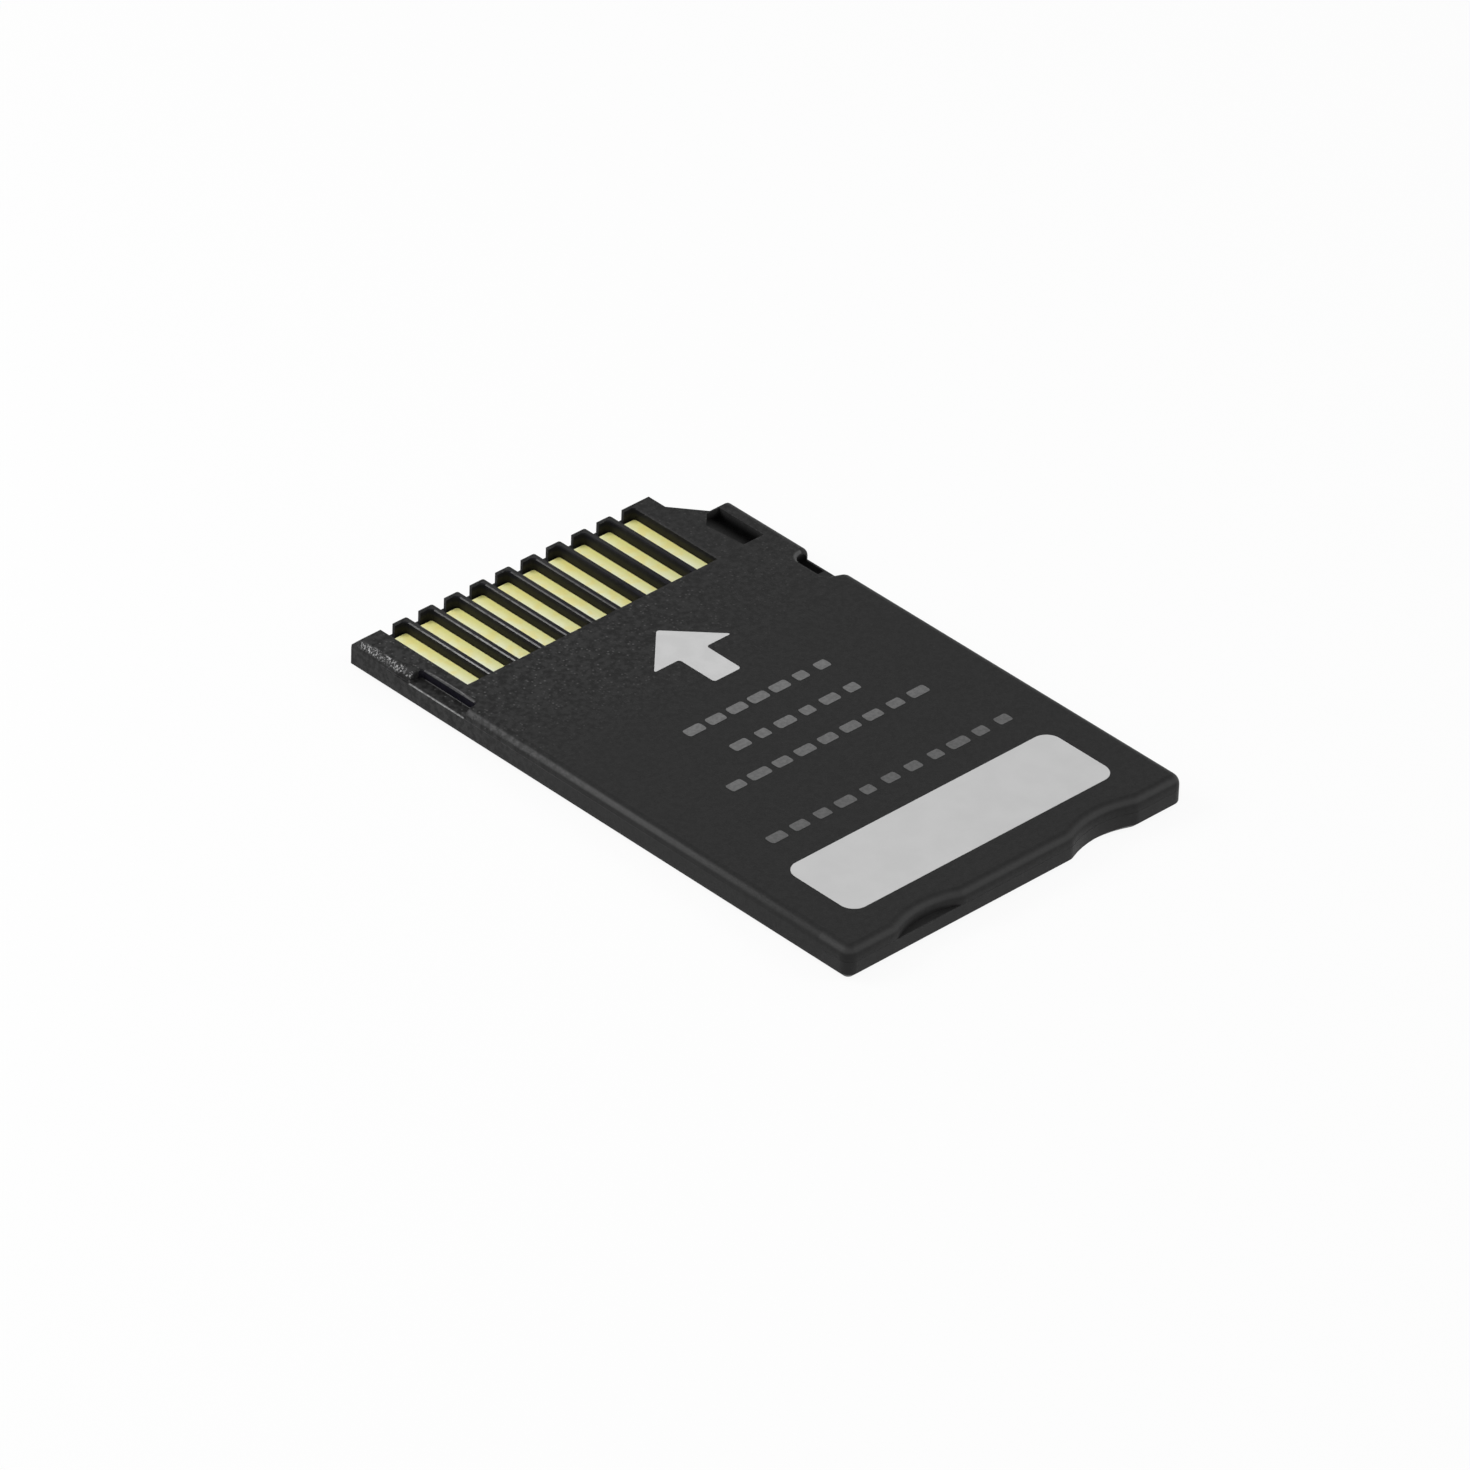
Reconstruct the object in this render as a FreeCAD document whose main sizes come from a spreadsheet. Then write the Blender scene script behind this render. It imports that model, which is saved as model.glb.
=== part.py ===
import FreeCAD, Part
import os
import Sketcher
from FreeCAD import Placement, Rotation, Vector

# Removable memory card, two moulded shells round a circuit board, in millimetres.
# The card lies with its contacts up: +X across the card, +Y the end that goes in first, +Z up.
# The origin is the middle of the face that it rests on.

document = FreeCAD.newDocument("MemoryCard")

# Driving dimensions
DIMENSIONS = {
    "card_width": 20.0,
    "card_length": 31.0,
    "card_thickness": 1.6,
    "parting_height": 0.95,
    "flange_height": 0.4,
    "skirt_thickness": 0.2,
    "skirt_rear_gap": 1.6,
    "rear_corner_radius": 0.55,
    "top_edge_radius": 0.5,
    "bottom_edge_bevel": 0.3,
    "front_bevel": 0.33,
    "seam_bevel": 0.03,
    "key_front_inset": 2.65,
    "key_side_inset": 1.4,
    "key_straight": 1.4,
    "key_length": 2.92,
    "scallop_side_inset": 4.8,
    "scallop_radius": 4.6,
    "scallop_depth": 0.43,
    "scallop_blend": 0.8,
    "contact_count": 10,
    "rib_thickness": 0.24,
    "slot_length": 5.9,
    "first_slot_inset": 1.4,
    "key_block_width": 1.07,
    "rib_setback": 0.33,
    "rib_corner": 0.1,
    "rib_edge_bevel": 0.05,
    "lip_thickness": 0.15,
    "lip_reach": 0.57,
    "lip_fillet": 0.28,
    "sill_thickness": 0.48,
    "sill_bevel": 0.2,
    "left_notch_front": 3.67,
    "left_notch_length": 3.5,
    "left_notch_width": 0.75,
    "left_notch_drop": 0.45,
    "left_notch_corner": 0.16,
    "left_notch_bevel": 0.09,
    "left_notch_edge_bevel": 0.05,
    "right_notch_front": 7.85,
    "right_notch_length": 2.04,
    "right_notch_width": 1.1,
    "right_notch_run_out": 0.47,
    "right_notch_corner": 0.5,
    "right_notch_round": 0.25,
    "right_notch_edge_bevel": 0.1,
    "recess_rim": 0.9,
    "recess_length": 2.82,
    "recess_width": 1.4,
    "recess_front_wall": 0.08,
    "recess_ramp_top": 0.04,
    "recess_ramp_base": 0.06,
    "recess_rear_taper": 0.2,
    "recess_corner_cut": 0.65,
    "floor_thickness": 0.25,
    "side_wall": 0.8,
    "rear_wall": 1.15,
    "inner_wall": 0.2,
    "key_wall": 0.9,
    "board_thickness": 0.3,
    "board_rise": 0.05,
    "board_clearance": 0.1,
    "board_ledge": 0.45,
    "peg_diameter": 0.5,
    "peg_length": 0.35,
    "peg_clearance": 0.03,
    "peg_side_inset": 0.62,
    "peg_front_inset": 2.0,
    "peg_rear_inset": 2.4,
    "label_recess_depth": 0.06,
    "label_recess_side": 1.3,
    "label_recess_end": 1.6,
    "label_recess_corner": 1.0,
    "contact_thickness": 0.03,
    "contact_side_gap": 0.05,
    "contact_front_gap": 0.15,
    "contact_rear_gap": 0.05,
    "contact_corner": 0.12,
    "panel_side_inset": 2.13,
    "panel_length": 4.26,
    "panel_rear_inset": 1.97,
    "panel_corner": 0.75,
    "panel_thickness": 0.02,
    "panel_fit": 0.01,
    "package_height": 0.36,
    "package_edge": 0.06,
    "solder_height": 0.03,
    "memory_width": 12.0,
    "memory_rear_gap": 2.05,
    "package_gap": 1.05,
    "controller_size": 7.0,
    "controller_left_gap": 2.45,
    "controller_front_gap": 1.9,
    "dot_diameter": 0.7,
    "dot_depth": 0.05,
    "dot_inset": 1.1,
    "land_length": 0.6,
    "land_width": 0.3,
    "memory_land_count": 12,
    "controller_land_count": 8,
    "land_edge_gap": 0.15,
    "capacitor_length": 1.0,
    "capacitor_width": 0.5,
    "capacitor_height": 0.34,
    "capacitor_cap": 0.22,
    "capacitor_count": 5,
    "capacitor_row_step": 2.7,
    "resistor_length": 0.6,
    "resistor_width": 0.3,
    "resistor_height": 0.22,
    "resistor_cap": 0.13,
    "resistor_count": 8,
    "resistor_pitch": 1.2,
    "resistor_front_inset": 4.42,
}

sheet = document.addObject("Spreadsheet::Sheet", "Sizes")
for row, (alias, number) in enumerate(DIMENSIONS.items(), start=1):
    sheet.set(f"A{row}", alias)
    sheet.set(f"B{row}", str(number))
    sheet.setAlias(f"B{row}", alias)
document.recompute()


class Size:
    """A length: its number now, and the formula that the document keeps for it."""

    def __init__(self, number, formula):
        self.number = number
        self.formula = formula

    def joined(self, other, sign, number):
        return Size(number, f"({self.formula} {sign} {formula(other)})")

    def __add__(self, other):
        return self.joined(other, "+", self.number + plain(other))

    def __sub__(self, other):
        return self.joined(other, "-", self.number - plain(other))

    def __mul__(self, other):
        return self.joined(other, "*", self.number * plain(other))

    def __truediv__(self, other):
        return self.joined(other, "/", self.number / plain(other))

    def __neg__(self):
        return Size(-self.number, f"(0 - {self.formula})")


def plain(value):
    return value.number if isinstance(value, Size) else value


def formula(value):
    return value.formula if isinstance(value, Size) else repr(value)


def size(alias):
    return Size(float(getattr(sheet, alias)), f"Sizes.{alias}")


def bind(item, prop, value):
    item.setExpression(prop, formula(value))


# Sketches and features


def new_body(label):
    body = document.addObject("PartDesign::Body", label)
    body.Label = label
    return body


def origin_plane(body, role):
    return next(item for item in body.Origin.OriginFeatures if item.Role == role)


def new_sketch(body, name, role, offset):
    sketch = body.newObject("Sketcher::SketchObject", name)
    sketch.AttachmentSupport = [(origin_plane(body, role), "")]
    sketch.MapMode = "FlatFace"
    bind(sketch, "AttachmentOffset.Base.z", offset)
    return sketch


def hold(sketch, axis, line, end, value):
    """Ties one end of a line to its distance from the sketch's origin."""
    number = sketch.addConstraint(Sketcher.Constraint(axis, -1, 1, line, end, plain(value)))
    bind(sketch, f"Constraints[{number}]", value)


def polygon(body, name, points, offset=0.0, role="XY_Plane"):
    """A closed outline of straight lines, each corner held at its own place."""
    sketch = new_sketch(body, name, role, offset)
    places = [Vector(plain(x), plain(y), 0) for x, y in points]
    count = len(points)
    for corner in range(count):
        sketch.addGeometry(Part.LineSegment(places[corner], places[(corner + 1) % count]), False)
    for corner in range(count):
        sketch.addConstraint(Sketcher.Constraint("Coincident", corner, 2, (corner + 1) % count, 1))
    for corner, (x, y) in enumerate(points):
        hold(sketch, "DistanceX", corner, 1, x)
        hold(sketch, "DistanceY", corner, 1, y)
    return sketch


def rectangle(body, name, left, right, rear, front, offset=0.0):
    corners = [(left, rear), (right, rear), (right, front), (left, front)]
    return polygon(body, name, corners, offset)


def circles(body, name, places, radius, offset=0.0):
    sketch = new_sketch(body, name, "XY_Plane", offset)
    for number, (x, y) in enumerate(places):
        centre = Vector(plain(x), plain(y), 0)
        sketch.addGeometry(Part.Circle(centre, Vector(0, 0, 1), plain(radius)), False)
        hold(sketch, "DistanceX", number, 3, x)
        hold(sketch, "DistanceY", number, 3, y)
        place = sketch.addConstraint(Sketcher.Constraint("Radius", number, plain(radius)))
        bind(sketch, f"Constraints[{place}]", radius)
    return sketch


def pad(body, name, sketch, length):
    feature = body.newObject("PartDesign::Pad", name)
    feature.Profile = sketch
    bind(feature, "Length", length)
    feature.Refine = True
    document.recompute()
    return feature


def pocket(body, name, sketch, length, upwards):
    """Cuts from the sketch's plane for one length, and stops if nothing was cut."""
    before = body.Shape.Volume
    feature = body.newObject("PartDesign::Pocket", name)
    feature.Profile = sketch
    bind(feature, "Length", length)
    feature.Reversed = upwards
    feature.Refine = True
    document.recompute()
    if body.Shape.Volume >= before:
        raise RuntimeError(f"{name} cuts nothing")
    return feature


def row_of(body, name, feature, role, spacing, count):
    """Repeats a feature in a straight row."""
    pattern = body.newObject("PartDesign::LinearPattern", name)
    pattern.Originals = [feature]
    pattern.Direction = (origin_plane(body, role), [""])
    bind(pattern, "Length", spacing * (count - 1))
    bind(pattern, "Occurrences", count)
    body.Tip = pattern
    document.recompute()
    return pattern


def edges_where(feature, test):
    """Names the edges of a feature whose box passes a test."""
    chosen = []
    for number, edge in enumerate(feature.Shape.Edges, start=1):
        if test(edge.BoundBox):
            chosen.append(f"Edge{number}")
    if not chosen:
        raise RuntimeError(f"no edge found on {feature.Name}")
    return chosen


def fillet(body, name, base, test, radius):
    feature = body.newObject("PartDesign::Fillet", name)
    feature.Base = (base, edges_where(base, test))
    bind(feature, "Radius", radius)
    document.recompute()
    return feature


def chamfer(body, name, base, test, width):
    feature = body.newObject("PartDesign::Chamfer", name)
    feature.Base = (base, edges_where(base, test))
    bind(feature, "Size", width)
    document.recompute()
    return feature


NEAR = 1e-4


def near(a, b):
    return abs(a - plain(b)) < NEAR


def upright(box):
    return box.XLength < NEAR and box.YLength < NEAR and box.ZLength > NEAR


def upright_at(box, x, y):
    return upright(box) and near(box.XMin, x) and near(box.YMin, y)


def level_at(box, z):
    return near(box.ZMin, z) and near(box.ZMax, z)


# Outline of the card

half_width = size("card_width") / 2
half_length = size("card_length") / 2
thickness = size("card_thickness")
parting = size("parting_height")
flange = size("flange_height")
skirt = size("skirt_thickness")
skirt_rear = size("skirt_rear_gap") - half_length

key_x = half_width - size("key_front_inset")
key_corner_x = half_width - size("key_side_inset")
key_corner_y = half_length - size("key_straight")
key_y = half_length - size("key_length")

card_outline = [
    (-half_width, -half_length),
    (half_width, -half_length),
    (half_width, key_y),
    (key_corner_x, key_y),
    (key_x, key_corner_y),
    (key_x, half_length),
    (-half_width, half_length),
]

scallop_x = half_width - size("scallop_side_inset")
scallop_radius = size("scallop_radius")
scallop_depth = size("scallop_depth")
scallop_y = scallop_depth - half_length - scallop_radius

rib = size("rib_thickness")
slot_count = size("contact_count")
slot_left = size("first_slot_inset") - half_width
last_slot_right = key_x - size("key_block_width")
slot_pitch = (last_slot_right + rib - slot_left) / slot_count
slot_width = slot_pitch - rib
slot_rear = half_length - size("slot_length")
rib_front = half_length - size("rib_setback")
sill_rear = half_length - size("sill_thickness")

left_notch_x = size("left_notch_width") - half_width
left_notch_floor = thickness - size("left_notch_drop")
left_notch_front = half_length - size("left_notch_front")
left_notch_rear = left_notch_front - size("left_notch_length")
right_notch_x = half_width - size("right_notch_width")
right_notch_front = half_length - size("right_notch_front")
right_notch_rear = right_notch_front - size("right_notch_length")
recess_right = half_width - size("recess_rim")
recess_left = recess_right - size("recess_width")
recess_front = key_y - size("recess_front_wall")
recess_rear = recess_front - size("recess_length")

# Room for the circuit board, the same in both shells

board_top = parting + size("board_rise")
board_bottom = board_top - size("board_thickness")
inner = size("inner_wall")
room_left = skirt + size("side_wall") - half_width
room_right = half_width - skirt - size("side_wall")
room_rear = size("rear_wall") - half_length
room_notch_x = right_notch_x - inner
room_notch_y = right_notch_rear - size("right_notch_run_out") - inner
room_recess_x = recess_left - inner
room_recess_y = recess_rear - inner
room_key_x = key_x - size("key_wall")
room_key_y = key_y - size("recess_corner_cut")


def room_outline(inset):
    """The outline of the room for the board, moved inwards by one distance."""
    return [
        (room_left + inset, room_rear + inset),
        (room_right - inset, room_rear + inset),
        (room_right - inset, room_notch_y - inset),
        (room_notch_x - inset, room_notch_y - inset),
        (room_notch_x - inset, room_recess_y - inset),
        (room_recess_x - inset, room_recess_y - inset),
        (room_recess_x - inset, room_key_y - inset),
        (room_key_x - inset, key_corner_y - inset),
        (room_key_x - inset, sill_rear - inset),
        (room_left + inset, sill_rear - inset),
    ]


peg_x = half_width - size("peg_side_inset")
peg_front = half_length - size("peg_front_inset")
peg_rear = size("peg_rear_inset") - half_length
peg_places = [(-peg_x, peg_rear), (peg_x, peg_rear), (-peg_x, peg_front)]
peg_radius = size("peg_diameter") / 2

OVERRUN = 1.0


def add_rear_scallops(body, places, height, base):
    """Cuts the finger scallops into the rear edge."""
    sketch = circles(body, "ScallopSketch", places, scallop_radius, base)
    return pocket(body, "Scallops", sketch, height, True)


def is_scallop_end(box):
    return upright(box) and near(box.YMin, -half_length) and abs(box.XMin) < half_width.number - NEAR


def is_rear_corner(box):
    return upright(box) and near(box.YMin, -half_length) and near(abs(box.XMin), half_width)


# Contact side shell: the top half, with the slots, the notches and the keyed corner


def make_contact_side_shell():
    body = new_body("contact_side_shell")
    plate_height = thickness - parting
    outline = polygon(body, "PlateSketch", card_outline, parting)
    pad(body, "Plate", outline, plate_height)

    places = [(-scallop_x, scallop_y), (scallop_x, scallop_y)]
    scallops = add_rear_scallops(body, places, plate_height, parting)
    blends = fillet(body, "ScallopBlends", scallops, is_scallop_end, size("scallop_blend"))
    corners = fillet(body, "RearCorners", blends, is_rear_corner, size("rear_corner_radius"))

    run_out = size("right_notch_run_out")
    notch = polygon(body, "RightNotchSketch", [
        (half_width + OVERRUN, right_notch_front),
        (right_notch_x, right_notch_front),
        (right_notch_x, right_notch_rear),
        (half_width, right_notch_rear - run_out),
        (half_width + OVERRUN, right_notch_rear - run_out),
    ], parting)
    cut = pocket(body, "RightNotch", notch, plate_height, True)

    def right_notch_corner(box):
        ends = (right_notch_rear, right_notch_front)
        return any(upright_at(box, right_notch_x, end) for end in ends)
    cut = fillet(body, "RightNotchCorners", cut, right_notch_corner, size("right_notch_corner"))

    def outer_top_edge(box):
        on_side = box.XLength < NEAR and near(abs(box.XMin), half_width)
        on_rear = box.YMax < scallop_y.number + scallop_radius.number + NEAR
        return level_at(box, thickness) and (on_side or on_rear)
    rounded = fillet(body, "TopEdgeRound", cut, outer_top_edge, size("top_edge_radius"))

    def right_notch_rim(box):
        in_notch = box.XMin > right_notch_x.number - NEAR and near(box.YMax, right_notch_front)
        return level_at(box, thickness) and in_notch and box.YLength < NEAR
    fillet(body, "RightNotchRim", rounded, right_notch_rim, size("right_notch_round"))

    for side, sign in (("Left", -1), ("Right", 1)):
        outer = half_width * sign
        face = (half_width - skirt) * sign
        front = half_length if side == "Left" else key_y
        if sign < 0:
            sketch = rectangle(body, f"{side}SkirtSketch", outer, face, skirt_rear, front, flange)
        else:
            sketch = rectangle(body, f"{side}SkirtSketch", face, outer, skirt_rear, front, flange)
        pad(body, f"{side}Skirt", sketch, parting - flange)

    bevel = size("front_bevel")
    bevel_profile = [
        (half_length - bevel, thickness),
        (half_length + OVERRUN, thickness),
        (half_length + OVERRUN, thickness - bevel),
        (half_length, thickness - bevel),
    ]
    sketch = polygon(body, "FrontBevelSketch", bevel_profile, -half_width, "YZ_Plane")
    pocket(body, "FrontBevel", sketch, half_width * 2, True)

    sketch = rectangle(body, "RibFrontSketch", slot_left, last_slot_right, rib_front,
                       half_length + OVERRUN, parting)
    pocket(body, "RibFront", sketch, plate_height, True)

    sketch = rectangle(body, "SlotSketch", slot_left, slot_left + slot_width, slot_rear,
                       half_length + OVERRUN, parting)
    slot = pocket(body, "Slot", sketch, plate_height, True)
    row_of(body, "Slots", slot, "X_Axis", slot_pitch, slot_count)

    slot_right = slot_left + slot_width
    lip_rear = rib_front - size("lip_thickness")
    sketch = rectangle(body, "LipSketch", slot_right - size("lip_reach"), slot_right, lip_rear,
                       rib_front, parting)
    lip = pad(body, "Lip", sketch, plate_height)
    lips = row_of(body, "Lips", lip, "X_Axis", slot_pitch, slot_count)

    def lip_corner(box):
        if not upright(box) or not near(box.YMin, lip_rear):
            return False
        step = (box.XMin - slot_right.number) / slot_pitch.number
        return abs(step - round(step)) < NEAR
    ribs = fillet(body, "LipFillets", lips, lip_corner, size("lip_fillet"))

    def rib_corner(box):
        step = (box.XMin - slot_left.number) / slot_pitch.number
        on_rib = abs(step - round(step)) < NEAR and round(step) > 0
        return upright(box) and near(box.YMin, rib_front) and on_rib
    ribs = fillet(body, "RibCorners", ribs, rib_corner, size("rib_corner"))

    def rib_left_edge(box):
        step = (box.XMin - slot_right.number) / slot_pitch.number
        on_rib = box.XLength < NEAR and abs(step - round(step)) < NEAR
        return level_at(box, thickness) and on_rib and box.YMin > slot_rear.number - NEAR
    chamfer(body, "RibEdges", ribs, rib_left_edge, size("rib_edge_bevel"))

    notch = rectangle(body, "LeftNotchSketch", -half_width - OVERRUN, left_notch_x,
                      left_notch_rear, left_notch_front, left_notch_floor)
    cut = pocket(body, "LeftNotch", notch, size("left_notch_drop"), True)

    def left_notch_corner(box):
        ends = (left_notch_rear, left_notch_front)
        return any(upright_at(box, left_notch_x, end) for end in ends)
    cut = fillet(body, "LeftNotchCorners", cut, left_notch_corner, size("left_notch_corner"))

    def left_notch_rim(box):
        inside = box.XMax < left_notch_x.number + NEAR
        inside = inside and box.YMin > left_notch_rear.number - NEAR
        inside = inside and box.YMax < left_notch_front.number + NEAR
        along = near(box.XMin, left_notch_x) and near(box.XMax, left_notch_x)
        return level_at(box, thickness) and inside and along
    chamfer(body, "LeftNotchRim", cut, left_notch_rim, size("left_notch_bevel"))

    edge_bevel = size("left_notch_edge_bevel")
    profile = polygon(body, "LeftNotchEdgeSketch", [
        (edge_bevel - half_width, left_notch_floor),
        (-half_width - OVERRUN, left_notch_floor),
        (-half_width - OVERRUN, left_notch_floor - edge_bevel),
        (-half_width, left_notch_floor - edge_bevel),
    ], -left_notch_front, "XZ_Plane")
    cut = pocket(body, "LeftNotchEdge", profile, size("left_notch_length"), True)

    def right_notch_edge(box):
        along = near(box.XMin, half_width) and near(box.XMax, half_width)
        return level_at(box, parting) and along and box.YMax > right_notch_rear.number
    chamfer(body, "RightNotchEdge", cut, right_notch_edge, size("right_notch_edge_bevel"))

    taper = size("recess_rear_taper")
    recess_cut = size("recess_corner_cut")
    recess = polygon(body, "RecessSketch", [
        (recess_right, recess_rear),
        (recess_right, recess_front),
        (recess_left + recess_cut, recess_front),
        (recess_left, recess_front - recess_cut),
        (recess_left + taper, recess_rear),
    ], parting)
    pocket(body, "Recess", recess, plate_height, True)
    ramp = polygon(body, "RecessRampSketch", [
        (recess_left, parting),
        (recess_right, parting),
        (recess_right, parting + size("recess_ramp_base")),
        (recess_left, thickness - size("recess_ramp_top")),
    ], -recess_front, "XZ_Plane")
    pad(body, "RecessRamp", ramp, size("recess_length"))

    room = polygon(body, "BoardRoomSketch", room_outline(0.0), parting)
    pocket(body, "BoardRoom", room, board_top - parting, True)

    panel_recess = panel_outline(body, "PanelRecessSketch", 0.0, thickness)
    cut = pocket(body, "PanelRecess", panel_recess, size("panel_thickness"), False)
    fillet(body, "PanelRecessCorners", cut, is_panel_corner, size("panel_corner"))

    pegs = circles(body, "PegSketch", peg_places, peg_radius, parting - size("peg_length"))
    pad(body, "Pegs", pegs, size("peg_length"))
    return body


# Printed panel, flush in its own shallow recess

panel_half = half_width - size("panel_side_inset")
panel_rear = size("panel_rear_inset") - half_length
panel_front = panel_rear + size("panel_length")


def panel_outline(body, name, gap, offset):
    return rectangle(body, name, -panel_half + gap, panel_half - gap, panel_rear + gap,
                     panel_front - gap, offset)


def is_panel_corner(box):
    fit = size("panel_fit").number + NEAR
    on_side = abs(abs(box.XMin) - panel_half.number) < fit
    on_end = min(abs(box.YMin - panel_rear.number), abs(box.YMin - panel_front.number)) < fit
    return upright(box) and on_side and on_end


def make_writing_panel():
    body = new_body("writing_panel")
    base = thickness - size("panel_thickness")
    sketch = panel_outline(body, "PanelSketch", size("panel_fit"), base)
    panel = pad(body, "Panel", sketch, size("panel_thickness"))
    fillet(body, "PanelCorners", panel, is_panel_corner, size("panel_corner") - size("panel_fit"))
    return body


# Label side shell: the tray that carries the board


def make_label_side_shell():
    body = new_body("label_side_shell")
    outline = polygon(body, "FlangeSketch", card_outline)
    pad(body, "Flange", outline, flange)

    face = half_width - skirt
    wall_outline = [
        (-half_width, -half_length),
        (half_width, -half_length),
        (half_width, skirt_rear),
        (face, skirt_rear),
        (face, key_y),
        (key_corner_x, key_y),
        (key_x, key_corner_y),
        (key_x, half_length),
        (-face, half_length),
        (-face, skirt_rear),
        (-half_width, skirt_rear),
    ]
    outline = polygon(body, "WallSketch", wall_outline, flange)
    pad(body, "Wall", outline, parting - flange)

    scallops = add_rear_scallops(body, [(scallop_x, scallop_y)], parting, 0.0)
    blends = fillet(body, "ScallopBlends", scallops, is_scallop_end, size("scallop_blend"))
    corners = fillet(body, "RearCorners", blends, is_rear_corner, size("rear_corner_radius"))

    bevelled = chamfer(body, "BottomBevel", corners, lambda box: level_at(box, 0.0),
                       size("bottom_edge_bevel"))

    def seam_edge(box):
        in_rear = box.YMax < scallop_y.number + scallop_radius.number + NEAR
        on_corner = box.YMax < skirt_rear.number + NEAR
        outside = box.YMin < scallop_depth.number - half_length.number + NEAR
        return level_at(box, parting) and (in_rear or on_corner) and outside
    chamfer(body, "SeamBevel", bevelled, seam_edge, size("seam_bevel"))

    room_depth = parting - board_bottom
    sketch = polygon(body, "BoardSeatSketch", room_outline(0.0), board_bottom)
    pocket(body, "BoardSeat", sketch, room_depth, True)
    floor = size("floor_thickness")
    sketch = polygon(body, "PartRoomSketch", room_outline(size("board_ledge")), floor)
    pocket(body, "PartRoom", sketch, board_bottom - floor, True)

    bevel = size("sill_bevel")
    profile = [
        (half_length - bevel, parting),
        (half_length + OVERRUN, parting),
        (half_length + OVERRUN, parting - bevel),
        (half_length, parting - bevel),
    ]
    sketch = polygon(body, "SillBevelSketch", profile, slot_left, "YZ_Plane")
    pocket(body, "SillBevel", sketch, last_slot_right - slot_left, True)

    hole_depth = size("peg_length") + size("peg_clearance")
    holes = circles(body, "PegHoleSketch", peg_places, peg_radius + size("peg_clearance"),
                    parting - hole_depth)
    pocket(body, "PegHoles", holes, hole_depth, True)

    side = half_width - size("label_recess_side")
    end = half_length - size("label_recess_end")
    label_front = room_recess_y
    sketch = rectangle(body, "LabelRecessSketch", -side, side, -end, label_front)
    cut = pocket(body, "LabelRecess", sketch, size("label_recess_depth"), True)

    def label_corner(box):
        return upright(box) and near(abs(box.XMin), side) and near(box.ZMin, 0.0)
    fillet(body, "LabelRecessCorners", cut, label_corner, size("label_recess_corner"))
    return body


# Circuit board and its ten contacts


def make_circuit_board():
    body = new_body("circuit_board")
    sketch = polygon(body, "BoardSketch", room_outline(size("board_clearance")))
    pad(body, "Board", sketch, size("board_thickness"))
    bind(body, "Placement.Base.z", board_bottom)
    return body


def make_contact(number):
    body = new_body(f"contact_pad_{number}")
    gap = size("contact_side_gap")
    length = sill_rear - size("contact_front_gap") - slot_rear - size("contact_rear_gap")
    width = slot_width - gap * 2
    sketch = rectangle(body, "ContactSketch", 0.0, width, 0.0, length)
    contact = pad(body, "Contact", sketch, size("contact_thickness"))

    def front_corner(box):
        return upright(box) and near(box.YMin, length)
    fillet(body, "ContactCorners", contact, front_corner, size("contact_corner"))
    bind(body, "Placement.Base.x", slot_left + gap + slot_pitch * (number - 1))
    bind(body, "Placement.Base.y", slot_rear + size("contact_rear_gap"))
    bind(body, "Placement.Base.z", board_top)
    return body


# Parts under the board: two packages, their solder, capacitors and resistors

package_height = size("package_height")
solder_height = size("solder_height")
package_base = board_bottom - solder_height - package_height


def make_package(label, left, width, rear, length):
    """A flat package with worn-off edges and a round dot in one corner."""
    body = new_body(label)
    sketch = rectangle(body, "PackageSketch", 0.0, width, 0.0, length)
    block = pad(body, "Package", sketch, package_height)
    chamfer(body, "PackageEdge", block, lambda box: level_at(box, 0.0), size("package_edge"))
    dot = size("dot_inset")
    sketch = circles(body, "DotSketch", [(dot, dot)], size("dot_diameter") / 2)
    pocket(body, "Dot", sketch, size("dot_depth"), True)
    bind(body, "Placement.Base.x", left)
    bind(body, "Placement.Base.y", rear)
    bind(body, "Placement.Base.z", package_base)
    return body


def make_box(label, width, length, height, x, y, z):
    box = document.addObject("Part::Box", label)
    bind(box, "Length", width)
    bind(box, "Width", length)
    bind(box, "Height", height)
    bind(box, "Placement.Base.x", x)
    bind(box, "Placement.Base.y", y)
    bind(box, "Placement.Base.z", z)
    return box


def make_group(label, boxes):
    group = document.addObject("Part::Compound", label)
    group.Label = label
    group.Links = boxes
    return group


def make_lands(label, count, left, width, rear, length):
    """Two rows of solder between a package and the board, along its long sides."""
    land_length = size("land_length")
    land_width = size("land_width")
    gap = size("land_edge_gap")
    base = board_bottom - solder_height
    pitch = length / count
    start = rear + (pitch - land_width) / 2
    boxes = []
    for number in range(int(count.number)):
        y = start + pitch * number
        for side, x in (("left", left + gap), ("right", left + width - gap - land_length)):
            boxes.append(make_box(f"{label}_{side}_{number}", land_length, land_width,
                                  solder_height, x, y, base))
    return make_group(label, boxes)


def make_chip_row(kind, first_x, pitch, y):
    """A row of chip parts: the bodies in one group, and the end caps in another."""
    length = size(f"{kind}_length")
    width = size(f"{kind}_width")
    height = size(f"{kind}_height")
    cap = size(f"{kind}_cap")
    base = board_bottom - height
    bodies = []
    caps = []
    for number in range(int(size(f"{kind}_count").number)):
        x = first_x + pitch * number
        bodies.append(make_box(f"{kind}_body_{number}", width, length - cap * 2, height,
                               x, y + cap, base))
        for end, place in (("rear", y), ("front", y + length - cap)):
            caps.append(make_box(f"{kind}_cap_{end}_{number}", width, cap, height,
                                 x, place, base))
    return [make_group(f"{kind}_bodies", bodies), make_group(f"{kind}_terminals", caps)]


ledge = size("board_ledge")
resistor_y = sill_rear - size("resistor_front_inset")
resistor_pitch = size("resistor_pitch")

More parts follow.
